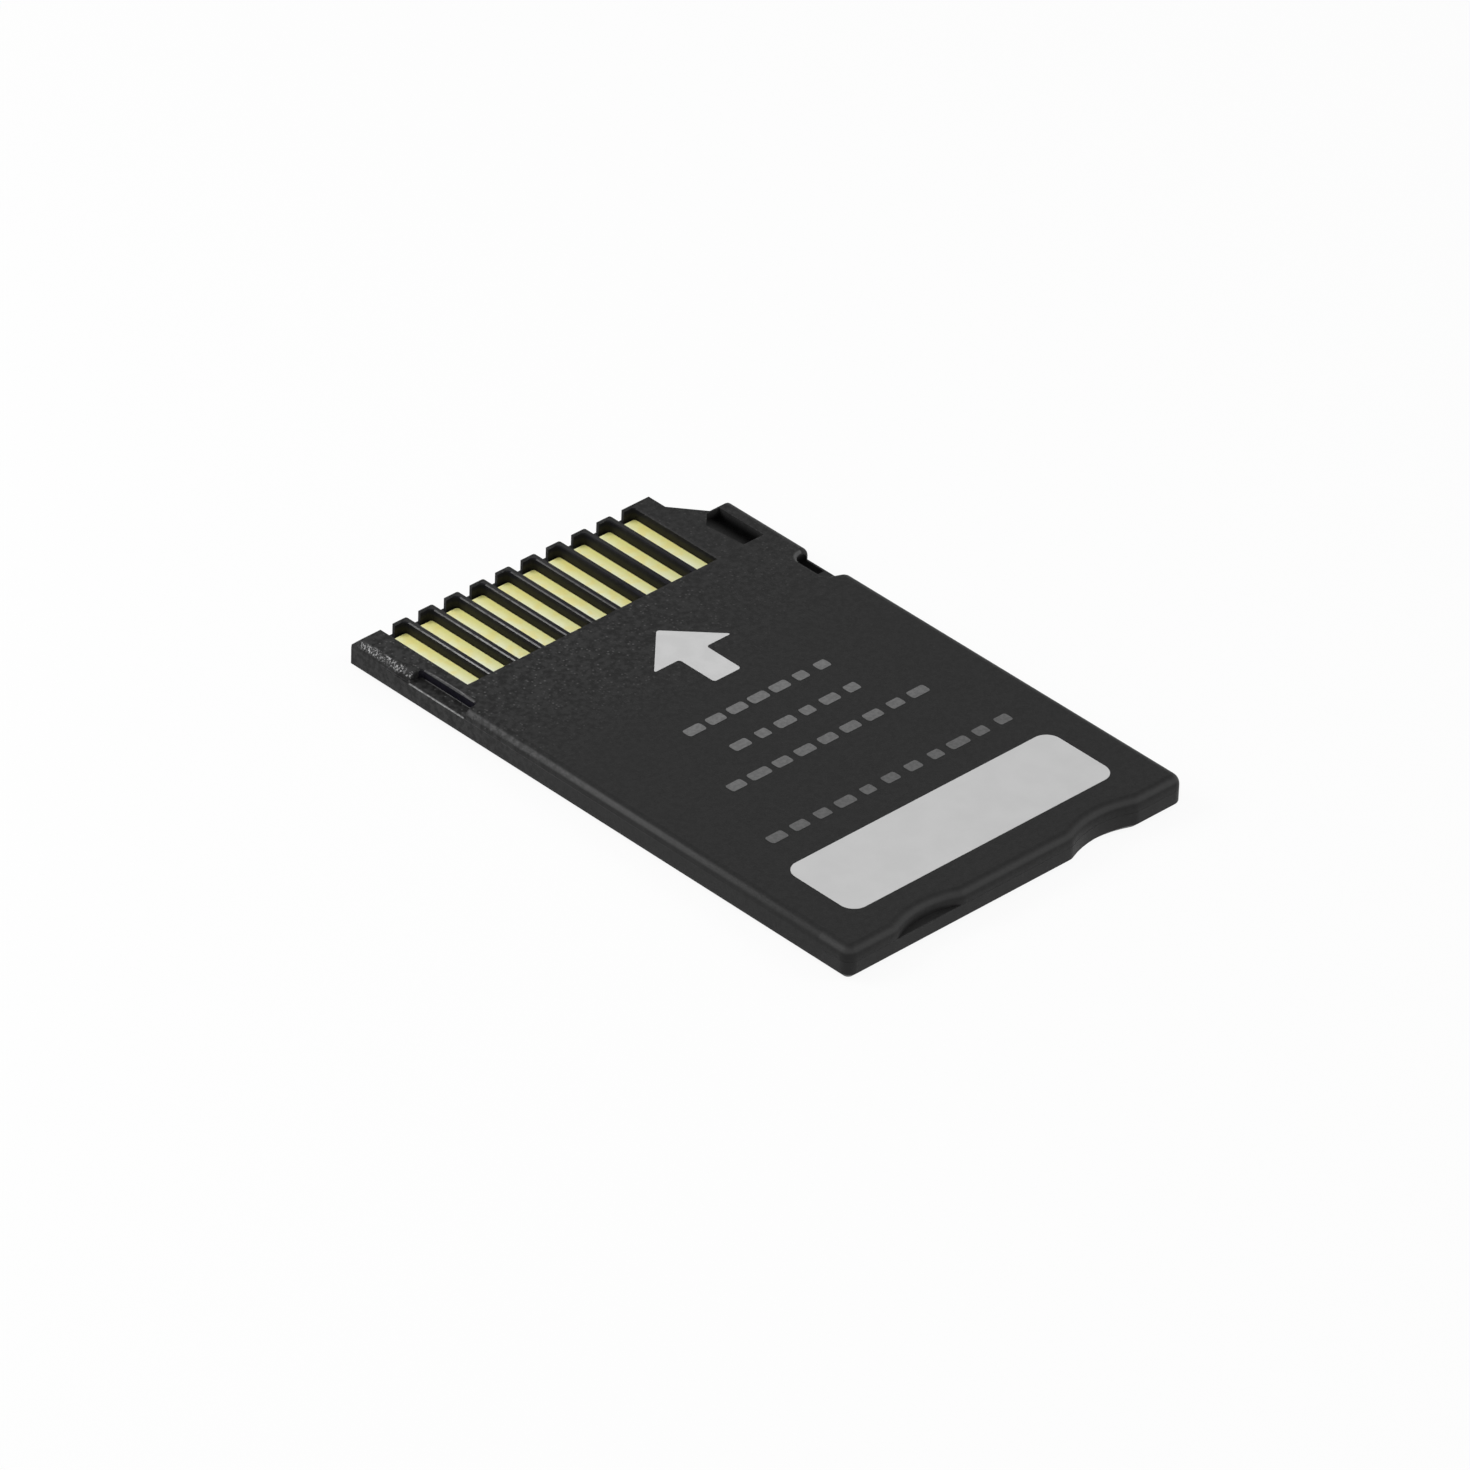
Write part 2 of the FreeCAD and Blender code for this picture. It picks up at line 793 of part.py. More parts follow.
controller_size = size("controller_size")
controller_left = room_left + ledge + size("controller_left_gap")
controller_right = controller_left + controller_size
controller_rear = resistor_y - size("controller_front_gap") - controller_size

memory_width = size("memory_width")
memory_left = -memory_width / 2
memory_rear = room_rear + ledge + size("memory_rear_gap")
memory_length = controller_rear - size("package_gap") - memory_rear

capacitor_y = controller_rear + size("capacitor_row_step")
capacitor_pitch = (room_notch_x - ledge - controller_right) / size("capacitor_count")
capacitor_x = controller_right + (capacitor_pitch - size("capacitor_width")) / 2

sub_parts = [
    make_contact_side_shell(),
    make_label_side_shell(),
    make_writing_panel(),
    make_circuit_board(),
]
for contact_number in range(1, int(slot_count.number) + 1):
    sub_parts.append(make_contact(contact_number))
sub_parts += [
    make_package("memory_package", memory_left, memory_width, memory_rear, memory_length),
    make_lands("memory_solder_lands", size("memory_land_count"), memory_left, memory_width,
               memory_rear, memory_length),
    make_package("controller_package", controller_left, controller_size, controller_rear,
                 controller_size),
    make_lands("controller_solder_lands", size("controller_land_count"), controller_left,
               controller_size, controller_rear, controller_size),
]
sub_parts += make_chip_row("capacitor", capacitor_x, capacitor_pitch, capacitor_y)
sub_parts += make_chip_row("resistor", controller_left, resistor_pitch, resistor_y)

document.recompute()

for item in document.Objects:
    if "Invalid" in item.State or "Error" in item.State:
        raise RuntimeError(f"{item.Label} failed: {item.State}")
for item in sub_parts:
    if item.Shape.isNull() or not item.Shape.isValid():
        raise RuntimeError(f"{item.Label} has no valid shape")

os.makedirs("parts", exist_ok=True)
for item in sub_parts:
    item.Shape.exportStep(os.path.join("parts", f"{item.Label}.step"))
print(f"{len(sub_parts)} sub-parts written")
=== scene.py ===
import math

import bmesh
import bpy
from mathutils import Matrix, Vector


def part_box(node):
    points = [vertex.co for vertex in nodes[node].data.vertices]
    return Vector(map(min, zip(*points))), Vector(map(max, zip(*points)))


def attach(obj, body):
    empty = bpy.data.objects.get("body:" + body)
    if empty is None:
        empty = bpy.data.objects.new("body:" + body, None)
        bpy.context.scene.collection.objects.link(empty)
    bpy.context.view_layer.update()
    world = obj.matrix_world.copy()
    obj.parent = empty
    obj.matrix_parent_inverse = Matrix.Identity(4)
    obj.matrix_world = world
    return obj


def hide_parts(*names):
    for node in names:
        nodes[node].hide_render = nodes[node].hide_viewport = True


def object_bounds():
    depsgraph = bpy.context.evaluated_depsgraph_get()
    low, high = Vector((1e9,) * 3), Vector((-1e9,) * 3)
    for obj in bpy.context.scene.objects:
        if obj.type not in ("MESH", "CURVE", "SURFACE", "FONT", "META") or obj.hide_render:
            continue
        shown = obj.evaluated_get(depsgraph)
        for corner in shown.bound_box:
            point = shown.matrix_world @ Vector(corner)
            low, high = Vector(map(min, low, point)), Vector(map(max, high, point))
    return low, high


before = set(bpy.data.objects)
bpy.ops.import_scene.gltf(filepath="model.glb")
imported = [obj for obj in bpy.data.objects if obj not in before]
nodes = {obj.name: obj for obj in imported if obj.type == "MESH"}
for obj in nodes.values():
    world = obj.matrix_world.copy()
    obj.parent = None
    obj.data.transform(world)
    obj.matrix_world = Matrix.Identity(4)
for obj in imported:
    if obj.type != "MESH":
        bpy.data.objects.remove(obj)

# Black memory card, lying with its contacts up on a pale table.
# Sizes are in metres, in the card's own frame: +X across it, +Y to the contact end, +Z up.

MM = 0.001
cad_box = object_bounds()

# Places that the solids' boxes give

CARD_LOW, CARD_HIGH = cad_box
TOP = CARD_HIGH.z
FIRST_PAD_LOW, FIRST_PAD_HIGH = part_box("contact_pad_1")
SECOND_PAD_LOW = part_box("contact_pad_2")[0]
LAST_PAD_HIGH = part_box("contact_pad_10")[1]
PAD_PITCH = SECOND_PAD_LOW.x - FIRST_PAD_LOW.x
PAD_WIDTH = FIRST_PAD_HIGH.x - FIRST_PAD_LOW.x
PAD_SIDE_GAP = 0.05 * MM
PAD_FRONT_GAP = 0.15 * MM
SLOT_LEFT = FIRST_PAD_LOW.x - PAD_SIDE_GAP
SLOT_RIGHT = LAST_PAD_HIGH.x + PAD_SIDE_GAP
SLOT_REAR = FIRST_PAD_LOW.y - PAD_SIDE_GAP
SLOT_FRONT = FIRST_PAD_HIGH.y + PAD_FRONT_GAP
BOARD_MIDDLE = sum(corner.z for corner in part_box("circuit_board")) / 2

# Places inside the shells, which no box gives

LEFT_NOTCH_REAR = 8.33 * MM
LEFT_NOTCH_FRONT = 11.83 * MM
LEFT_NOTCH_FLOOR = 1.15 * MM
LEFT_NOTCH_RIGHT = -9.25 * MM
RECESS_LEFT = 7.7 * MM
RECESS_RIGHT = 9.1 * MM
RECESS_REAR = 9.68 * MM
RECESS_FRONT = 12.5 * MM
RIGHT_NOTCH_LEFT = 8.9 * MM
RIGHT_NOTCH_REAR = 5.4 * MM
RIGHT_NOTCH_FRONT = 7.65 * MM
RIGHT_NOTCH_SHADE_REAR = 6.55 * MM
RIGHT_NOTCH_RIM = 0.25 * MM
TOP_ROUNDING = 0.5 * MM


# Small helpers for materials


def new_material(name):
    """A material with its node tree and its surface shader."""
    material = bpy.data.materials.new(name)
    material.use_nodes = True
    tree = material.node_tree
    return material, tree, tree.nodes["Principled BSDF"]


def add(tree, kind, **settings):
    """Adds a node and makes its choices."""
    node = tree.nodes.new(kind)
    for key, value in settings.items():
        setattr(node, key, value)
    return node


def link(tree, start, end):
    tree.links.new(start, end)


def put(tree, socket, value):
    """Links a socket to another, or gives it a plain number or colour."""
    if isinstance(value, bpy.types.NodeSocket):
        link(tree, value, socket)
    elif isinstance(value, tuple):
        socket.default_value = (*value, 1.0)
    else:
        socket.default_value = value


def math_node(tree, operation, first, second):
    """A sum on numbers or sockets."""
    node = add(tree, "ShaderNodeMath", operation=operation)
    put(tree, node.inputs[0], first)
    put(tree, node.inputs[1], second)
    return node.outputs[0]


def times(tree, *factors):
    """The product of numbers or sockets."""
    product = factors[0]
    for factor in factors[1:]:
        product = math_node(tree, "MULTIPLY", product, factor)
    return product


def map_range(tree, value, low, high, to_low=0.0, to_high=1.0):
    """Turns one range of values into another, smoothly at both ends."""
    node = add(tree, "ShaderNodeMapRange", interpolation_type="SMOOTHSTEP")
    for name, number in (("Value", value), ("From Min", low), ("From Max", high),
                         ("To Min", to_low), ("To Max", to_high)):
        put(tree, node.inputs[name], number)
    return node.outputs["Result"]


def mix_colour(tree, factor, first, second):
    """The first colour where the factor is 0, and the second where it is 1."""
    node = add(tree, "ShaderNodeMix", data_type="RGBA")
    colours = [socket for socket in node.inputs if socket.type == "RGBA"]
    put(tree, node.inputs[0], factor)
    put(tree, colours[0], first)
    put(tree, colours[1], second)
    return next(socket for socket in node.outputs if socket.type == "RGBA")


def grey(level):
    """A neutral colour of one linear level."""
    return (level, level, level)


def object_place(tree):
    return tree.nodes.new("ShaderNodeTexCoord").outputs["Object"]


def split_place(tree):
    """The X, Y and Z of a point on the card."""
    apart = tree.nodes.new("ShaderNodeSeparateXYZ")
    link(tree, object_place(tree), apart.inputs[0])
    return apart.outputs


def noise(tree, size, detail=2.0, rough=0.5):
    """Noise whose bumps are about one size apart. The size is a number or a socket."""
    node = tree.nodes.new("ShaderNodeTexNoise")
    link(tree, object_place(tree), node.inputs["Vector"])
    if isinstance(size, bpy.types.NodeSocket):
        link(tree, math_node(tree, "DIVIDE", 1.0, size), node.inputs["Scale"])
    else:
        node.inputs["Scale"].default_value = 1.0 / size
    node.inputs["Detail"].default_value = detail
    node.inputs["Roughness"].default_value = rough
    return node.outputs["Fac"]


def clouds(tree, value, most=1.0):
    """Soft patches made from noise."""
    return map_range(tree, value, 0.35, 0.65, 0.0, most)


def bump(tree, surface, height, depth, strength=0.6):
    node = tree.nodes.new("ShaderNodeBump")
    node.inputs["Distance"].default_value = depth
    node.inputs["Strength"].default_value = strength
    link(tree, height, node.inputs["Height"])
    link(tree, node.outputs["Normal"], surface.inputs["Normal"])


def set_gloss(tree, surface, height, smoothest, roughest, specular):
    """Roughness that follows an uneven height, and how strongly the surface mirrors."""
    link(tree, map_range(tree, height, 0.3, 0.7, smoothest, roughest), surface.inputs["Roughness"])
    surface.inputs["Specular IOR Level"].default_value = specular


def new_group(name, inputs, outputs):
    """An empty shader group with named inputs and outputs."""
    group = bpy.data.node_groups.new(name, "ShaderNodeTree")
    for label, value in inputs:
        socket = group.interface.new_socket(label, in_out="INPUT", socket_type="NodeSocketFloat")
        socket.default_value = value
    for label in outputs:
        group.interface.new_socket(label, in_out="OUTPUT", socket_type="NodeSocketFloat")
    return group, group.nodes.new("NodeGroupInput"), group.nodes.new("NodeGroupOutput")


def place_group(tree, group, **values):
    """Places a group in a tree. An underscore in a value's name stands for a space."""
    node = tree.nodes.new("ShaderNodeGroup")
    node.node_tree = group
    for label, value in values.items():
        put(tree, node.inputs[label.replace("_", " ")], value)
    return node


# Shared effects


def make_mould_grain():
    """Spark-eroded mould texture: a fine height, pale specks and slow cloudy patches."""
    group, inner, outer = new_group("mould_grain", [
        ("Grain Size", 0.07 * MM), ("Speck Size", 0.2 * MM), ("Patch Size", 3.0 * MM),
        ("Bare Share", 0.72)], ["Height", "Specks", "Patches"])
    link(group, noise(group, inner.outputs["Grain Size"], 3.0, 0.6), outer.inputs["Height"])

    cells = group.nodes.new("ShaderNodeTexVoronoi")
    link(group, object_place(group), cells.inputs["Vector"])
    link(group, math_node(group, "DIVIDE", 1.0, inner.outputs["Speck Size"]), cells.inputs["Scale"])
    cell_colour = group.nodes.new("ShaderNodeSeparateColor")
    link(group, cells.outputs["Color"], cell_colour.inputs[0])
    chosen = math_node(group, "GREATER_THAN", cell_colour.outputs[0], inner.outputs["Bare Share"])
    spot = map_range(group, cells.outputs["Distance"], 0.45, 0.15)
    brightness = map_range(group, cell_colour.outputs[1], 0.0, 1.0, 0.3, 1.0)
    link(group, times(group, chosen, spot, brightness), outer.inputs["Specks"])

    link(group, noise(group, inner.outputs["Patch Size"], 3.0), outer.inputs["Patches"])
    return group


def make_edge_band():
    """1 inside a box that is given by its places across, along and above the card."""
    group, inner, outer = new_group("edge_band", [
        ("Left", 0.0), ("Right", 0.0), ("Bottom", 0.0), ("Top", 1.0), ("Rear", 0.0),
        ("Front", 0.0), ("Blur", 0.1 * MM)], ["Mask"])
    places = split_place(group)

    def rises(place, label):
        offset = math_node(group, "SUBTRACT", places[place], inner.outputs[label])
        share = math_node(group, "DIVIDE", offset, inner.outputs["Blur"])
        return map_range(group, share, -0.5, 0.5)

    def falls(place, label):
        return math_node(group, "SUBTRACT", 1.0, rises(place, label))

    mask = times(group, rises("X", "Left"), falls("X", "Right"), rises("Z", "Bottom"),
                 falls("Z", "Top"), rises("Y", "Rear"), falls("Y", "Front"))
    link(group, mask, outer.inputs["Mask"])
    return group


mould_grain = make_mould_grain()
edge_band = make_edge_band()


def box_mask(tree, **places):
    """1 inside the given box on the card, and 0 outside it."""
    return place_group(tree, edge_band, **places).outputs["Mask"]


# Plastic of the contact side shell, outside


def shell_grain(tree, places, grain):
    """The bare plastic, coarser and more speckled towards the front left."""
    fine_black, fine_grey = grey(0.0120), grey(0.0150)
    coarse_black, coarse_grey = grey(0.0064), grey(0.0250)
    speck_grey = grey(0.080)
    cloudy = clouds(tree, grain.outputs["Patches"])
    fine = mix_colour(tree, cloudy, fine_black, fine_grey)
    coarse = mix_colour(tree, cloudy, coarse_black, coarse_grey)
    toward_front_left = times(tree, map_range(tree, places["Y"], 0.5 * MM, 9.5 * MM),
                              map_range(tree, places["X"], -3.0 * MM, 7.0 * MM, 1.0, 0.45))
    left_block = box_mask(tree, Left=CARD_LOW.x, Right=SLOT_LEFT, Bottom=LEFT_NOTCH_FLOOR,
                          Rear=LEFT_NOTCH_REAR, Front=CARD_HIGH.y, Blur=0.6 * MM)
    coarse_share = math_node(tree, "MAXIMUM", left_block, times(tree, toward_front_left, 0.85))
    mottled = mix_colour(tree, coarse_share, fine, coarse)
    speck_share = map_range(tree, toward_front_left, 0.0, 1.0, 0.05, 0.90)
    return mix_colour(tree, times(tree, grain.outputs["Specks"], speck_share), mottled, speck_grey)


def rounding_highlight_share(tree, places):
    """Share of painted highlight on the rounding: along the left edge, brighter towards the left
    notch, and faintly along the rear.
    """
    evenness = map_range(tree, places["Y"], -3.0 * MM, 8.0 * MM, 0.90, 0.35)
    mottle = map_range(tree, noise(tree, 0.28 * MM, 3.0, 0.6), 0.38, 0.62, evenness, 1.0)
    toward_notch = map_range(tree, places["Y"], -15.0 * MM, 4.0 * MM, 0.05, 0.80)
    left_edge = box_mask(tree, Left=CARD_LOW.x - TOP_ROUNDING,
                         Right=CARD_LOW.x + 0.48 * TOP_ROUNDING,
                         Bottom=TOP - 0.50 * TOP_ROUNDING,
                         Rear=CARD_LOW.y, Front=LEFT_NOTCH_REAR, Blur=0.12 * MM)
    rear_edge = box_mask(tree, Left=CARD_LOW.x, Right=CARD_HIGH.x,
                         Bottom=TOP - 0.52 * TOP_ROUNDING, Top=TOP - 0.14 * TOP_ROUNDING,
                         Rear=CARD_LOW.y - TOP_ROUNDING, Front=CARD_LOW.y + 3.8 * TOP_ROUNDING,
                         Blur=0.14 * MM)
    return math_node(tree, "MAXIMUM", times(tree, left_edge, mottle, toward_notch),
                     times(tree, rear_edge, 0.32))


def notch_highlight_lines(tree):
    """Thin painted highlight lines: the right notch's front rim, and the foot of the left notch's
    wall.
    """
    rim = box_mask(tree, Left=RIGHT_NOTCH_LEFT - RIGHT_NOTCH_RIM,
                   Right=RIGHT_NOTCH_LEFT + 0.6 * MM,
                   Bottom=TOP - 0.6 * RIGHT_NOTCH_RIM, Top=TOP - 0.1 * RIGHT_NOTCH_RIM,
                   Rear=RIGHT_NOTCH_FRONT - 0.5 * MM,
                   Front=RIGHT_NOTCH_FRONT + RIGHT_NOTCH_RIM, Blur=0.05 * MM)
    foot = box_mask(tree, Left=LEFT_NOTCH_RIGHT - 0.055 * MM,
                    Right=LEFT_NOTCH_RIGHT - 0.005 * MM,
                    Bottom=LEFT_NOTCH_FLOOR - 0.05 * MM, Top=LEFT_NOTCH_FLOOR + 0.05 * MM,
                    Rear=LEFT_NOTCH_REAR + 0.3 * MM, Front=LEFT_NOTCH_FRONT - 0.3 * MM,
                    Blur=0.02 * MM)
    return math_node(tree, "MAXIMUM", times(tree, rim, 0.75), times(tree, foot, 0.85))


def worn_glint_share(tree):
    """Painted glints: short bright strokes on the worn, grainy rounding in front of the left notch."""
    strokes = map_range(tree, noise(tree, 0.10 * MM, 2.0, 0.6), 0.52, 0.58)
    clusters = map_range(tree, noise(tree, 0.40 * MM, 2.0), 0.38, 0.60, 0.25, 1.0)
    rounding = box_mask(tree, Left=CARD_LOW.x + 0.10 * TOP_ROUNDING,
                        Right=CARD_LOW.x + 0.62 * TOP_ROUNDING,
                        Bottom=TOP - 0.52 * TOP_ROUNDING, Rear=LEFT_NOTCH_FRONT,
                        Front=CARD_HIGH.y - 0.45 * MM, Blur=0.14 * MM)
    scuff_glints = math_node(tree, "ADD", times(tree, strokes, clusters, 0.85), 0.03)
    return times(tree, rounding, scuff_glints)


def make_shell_black():
    """Black moulded plastic with a fine grain, with painted highlights on its roundings and notch
    rims, and painted glints on the worn rounding at the front left.
    """
    material, tree, surface = new_material("shell_black")
    grain = place_group(tree, mould_grain, Grain_Size=0.06 * MM, Speck_Size=0.15 * MM,
                        Patch_Size=0.24 * MM, Bare_Share=0.70)
    places = split_place(tree)
    colour = shell_grain(tree, places, grain)
    # Painted highlights on the left and rear roundings and the notch rims, and painted glints on the
    # worn front-left rounding.
    for share, pale in ((rounding_highlight_share(tree, places), grey(0.070)),
                        (notch_highlight_lines(tree), grey(0.105)),
                        (worn_glint_share(tree), grey(0.44))):
        colour = mix_colour(tree, share, colour, pale)
    link(tree, colour, surface.inputs["Base Color"])
    set_gloss(tree, surface, grain.outputs["Height"], 0.48, 0.60, specular=0.17)
    bump(tree, surface, grain.outputs["Height"], 0.010 * MM, 0.8)
    return material


# Other plastics


def make_tray_black():
    """The label side shell's plastic, a little smoother than the other shell's."""
    material, tree, surface = new_material("tray_black")
    grain = place_group(tree, mould_grain, Grain_Size=0.05 * MM, Speck_Size=0.15 * MM,
                        Patch_Size=0.6 * MM, Bare_Share=0.85)
    body = mix_colour(tree, clouds(tree, grain.outputs["Patches"]), grey(0.0140), grey(0.0170))
    specked = mix_colour(tree, times(tree, grain.outputs["Specks"], 0.4), body, grey(0.040))
    link(tree, specked, surface.inputs["Base Color"])
    set_gloss(tree, surface, grain.outputs["Height"], 0.45, 0.58, specular=0.17)
    bump(tree, surface, grain.outputs["Height"], 0.007 * MM, 0.7)
    return material


def make_slot_black():
    """The plastic in the slots, on the ribs and in the left notch: smooth and nearly black,
    a little greyer towards the lips, with a painted reflection of the gold contacts low down beside
    them."""
    blue_black, violet_black = (0.0046, 0.0046, 0.0072), (0.0072, 0.0068, 0.0115)
    gold_reflection_black = (0.0240, 0.0225, 0.0130)
    lip_grey, rib_grey = grey(0.014), grey(0.030)
    material, tree, surface = new_material("slot_black")
    places = split_place(tree)
    toward_lips = map_range(tree, places["Y"], SLOT_REAR, SLOT_FRONT)
    deep = mix_colour(tree, clouds(tree, noise(tree, 0.3 * MM, 3.0)), blue_black, violet_black)
    walls = mix_colour(tree, times(tree, toward_lips, 0.5), deep, lip_grey)
    # Painted reflection of the gold contacts, low on the walls beside them.
    low_down = map_range(tree, places["Z"], TOP - 0.36 * MM, TOP - 0.16 * MM, 0.65, 0.0)
    beside_contacts = map_range(tree, places["X"], SLOT_LEFT, SLOT_LEFT + 0.2 * MM)
    gold_reflected = mix_colour(tree, times(tree, low_down, beside_contacts), walls, gold_reflection_black)
    on_top = map_range(tree, places["Z"], TOP - 0.012 * MM, TOP - 0.002 * MM)
    rib_top = times(tree, on_top, map_range(tree, toward_lips, 0.0, 1.0, 0.35, 0.90))
    link(tree, mix_colour(tree, rib_top, gold_reflected, rib_grey), surface.inputs["Base Color"])
    fine = noise(tree, 0.06 * MM, 2.0)
    set_gloss(tree, surface, fine, 0.42, 0.54, specular=0.05)
    bump(tree, surface, fine, 0.003 * MM)
    return material


def make_shade_black():
    """The recess and the right notch: matt, with painted shade that makes them darker the deeper they
    go.
    """
    material, tree, surface = new_material("shade_black")
    # Painted shade: darker the deeper the surface lies.
    height = map_range(tree, split_place(tree)["Z"], TOP - 0.50 * MM, TOP + 0.05 * MM)
    body = mix_colour(tree, height, grey(0.0040), grey(0.036))
    cloudy = clouds(tree, noise(tree, 0.2 * MM, 3.0), 0.25)
    link(tree, mix_colour(tree, cloudy, body, grey(0.010)), surface.inputs["Base Color"])
    fine = noise(tree, 0.06 * MM, 2.0)
    set_gloss(tree, surface, fine, 0.60, 0.72, specular=0.0)
    bump(tree, surface, fine, 0.003 * MM)
    return material


def make_bright_edge():
    """The narrow bevels on the ribs and the left notch: glossier than the rest, with a painted
    highlight that fades towards the right and the front.
    """
    material, tree, surface = new_material("bright_edge")
    places = split_place(tree)
    toward_left = map_range(tree, places["X"], -8.0 * MM, 1.5 * MM, 1.0, 0.0)
    toward_rear = map_range(tree, places["Y"], SLOT_REAR + 2.0 * MM, SLOT_FRONT, 1.0, 0.15)
    patchy = map_range(tree, noise(tree, 0.25 * MM, 3.0), 0.30, 0.55, 0.45, 1.0)
    notch_rim = box_mask(tree, Left=CARD_LOW.x, Right=SLOT_LEFT, Bottom=LEFT_NOTCH_FLOOR,
                         Rear=LEFT_NOTCH_REAR, Front=LEFT_NOTCH_FRONT, Blur=0.05 * MM)
    off_notch = math_node(tree, "SUBTRACT", 1.0, times(tree, notch_rim, 0.75))
    # Painted highlight on the bevels, fading towards the right and the front, and weaker on the left
    # notch's rim.
    bevel_highlight = times(tree, toward_left, toward_rear, patchy, off_notch)
    link(tree, mix_colour(tree, bevel_highlight, grey(0.006), grey(0.215)), surface.inputs["Base Color"])
    link(tree, map_range(tree, patchy, 0.45, 1.0, 0.42, 0.30), surface.inputs["Roughness"])
    surface.inputs["Specular IOR Level"].default_value = 0.2
    return material


# Metal, print and the pieces inside


def make_contact_gold():
    """Pale gold plating: deeper along each contact's right side, whiter along its left, and a painted
    highlight along its left edge and rear end.
    """
    pale_rear, pale_front = (0.92, 0.97, 0.94), (0.91, 0.95, 0.80)
    deep_rear, deep_front = (0.96, 0.96, 0.45), (0.97, 0.93, 0.32)
    patch_gold, rim_highlight_gold = (0.96, 0.85, 0.27), (0.98, 0.98, 0.84)
    material, tree, surface = new_material("contact_gold")
    places = split_place(tree)
    from_first = math_node(tree, "SUBTRACT", places["X"], FIRST_PAD_LOW.x)
    across = math_node(tree, "MODULO", from_first, PAD_PITCH)
    along = math_node(tree, "SUBTRACT", places["Y"], FIRST_PAD_LOW.y)
    toward_right = map_range(tree, across, 0.0, PAD_WIDTH)
    toward_front = map_range(tree, places["Y"], SLOT_REAR, SLOT_FRONT)
    pale = mix_colour(tree, toward_front, pale_rear, pale_front)
    deep = mix_colour(tree, toward_front, deep_rear, deep_front)
    plated = mix_colour(tree, toward_right, pale, deep)
    patch = map_range(tree, noise(tree, 0.60 * MM, 3.0), 0.46, 0.66, 0.0, 0.55)
    patched = mix_colour(tree, patch, plated, patch_gold)
    # Painted highlight along each contact's left edge and rear end.
    rim = map_range(tree, math_node(tree, "MINIMUM", across, along), 0.14 * MM, 0.02 * MM)
    link(tree, mix_colour(tree, times(tree, rim, 0.8), patched, rim_highlight_gold),
         surface.inputs["Base Color"])
    surface.inputs["Metallic"].default_value = 0.12
    scuffs = noise(tree, 0.12 * MM, 3.0)
    set_gloss(tree, surface, scuffs, 0.36, 0.48, specular=0.4)
    bump(tree, surface, scuffs, 0.002 * MM, 0.5)
    return material


def uneven_surface(tree, surface, size, rough, specular):
    """Gives a surface a faint uneven height and gloss, and returns the noise they follow."""
    wandering = noise(tree, size, 4.0)
    set_gloss(tree, surface, wandering, rough - 0.05, rough + 0.05, specular)
    bump(tree, surface, wandering, 0.003 * MM, 0.5)
    return wandering


def make_noisy_finish(name, first, second, rough, size, metallic=0.0, specular=0.5):
    """A plain finish that wanders between two colours."""
    material, tree, surface = new_material(name)
    wandering = uneven_surface(tree, surface, size, rough, specular)
    link(tree, mix_colour(tree, clouds(tree, wandering), first, second),
         surface.inputs["Base Color"])
    surface.inputs["Metallic"].default_value = metallic
    return material


def make_row_ink():
    """Grey print, a little weaker towards the rear."""
    material, tree, surface = new_material("row_ink")
    wandering = uneven_surface(tree, surface, 0.15 * MM, rough=0.6, specular=0.2)
    toward_front = map_range(tree, split_place(tree)["Y"], -8.0 * MM, 1.0 * MM)
    darker = mix_colour(tree, toward_front, grey(0.092), grey(0.125))
    paler = mix_colour(tree, toward_front, grey(0.118), grey(0.160))
    link(tree, mix_colour(tree, clouds(tree, wandering), darker, paler),
         surface.inputs["Base Color"])
    return material


def make_board_green():
    """Green lacquer, with the contacts' plated lands showing between the ribs."""
    dark_green, light_green = (0.004, 0.020, 0.012), (0.006, 0.026, 0.016)
    land_gold = (0.74, 0.70, 0.28)
    material, tree, surface = new_material("board_green")
    wandering = uneven_surface(tree, surface, 0.4 * MM, rough=0.41, specular=0.3)
    lacquer = mix_colour(tree, clouds(tree, wandering), dark_green, light_green)
    lands = box_mask(tree, Left=SLOT_LEFT, Right=SLOT_RIGHT, Bottom=BOARD_MIDDLE,
                     Rear=SLOT_REAR - 0.1 * MM, Front=FIRST_PAD_HIGH.y, Blur=0.02 * MM)
    link(tree, mix_colour(tree, lands, lacquer, land_gold), surface.inputs["Base Color"])
    return material


shell_black = make_shell_black()
tray_black = make_tray_black()
slot_black = make_slot_black()
shade_black = make_shade_black()
bright_edge = make_bright_edge()
contact_gold = make_contact_gold()
arrow_ink = make_noisy_finish("pale_ink", grey(0.53), grey(0.56), 0.6, 0.8 * MM, specular=0.2)
panel_ink = make_noisy_finish("panel_ink", grey(0.525), grey(0.545), 0.6, 1.6 * MM, specular=0.2)
row_ink = make_row_ink()
board_green = make_board_green()
package_resin = make_noisy_finish("package_resin", grey(0.018), grey(0.024), 0.5, 0.1 * MM)
solder_tin = make_noisy_finish("solder_tin", grey(0.55), grey(0.65), 0.35, 0.1 * MM, metallic=1.0)
chip_ceramic = make_noisy_finish("chip_ceramic", (0.36, 0.24, 0.13), (0.42, 0.29, 0.17), 0.5,
                                 0.1 * MM)
resistor_glaze = make_noisy_finish("resistor_glaze", grey(0.016), grey(0.022), 0.25, 0.1 * MM)


# The shells


SAME_POINT = 1e-7
SAME_PLANE = math.radians(0.3)
SHARP_ANGLE = math.radians(28)
ON_THE_CUT = 1e-8


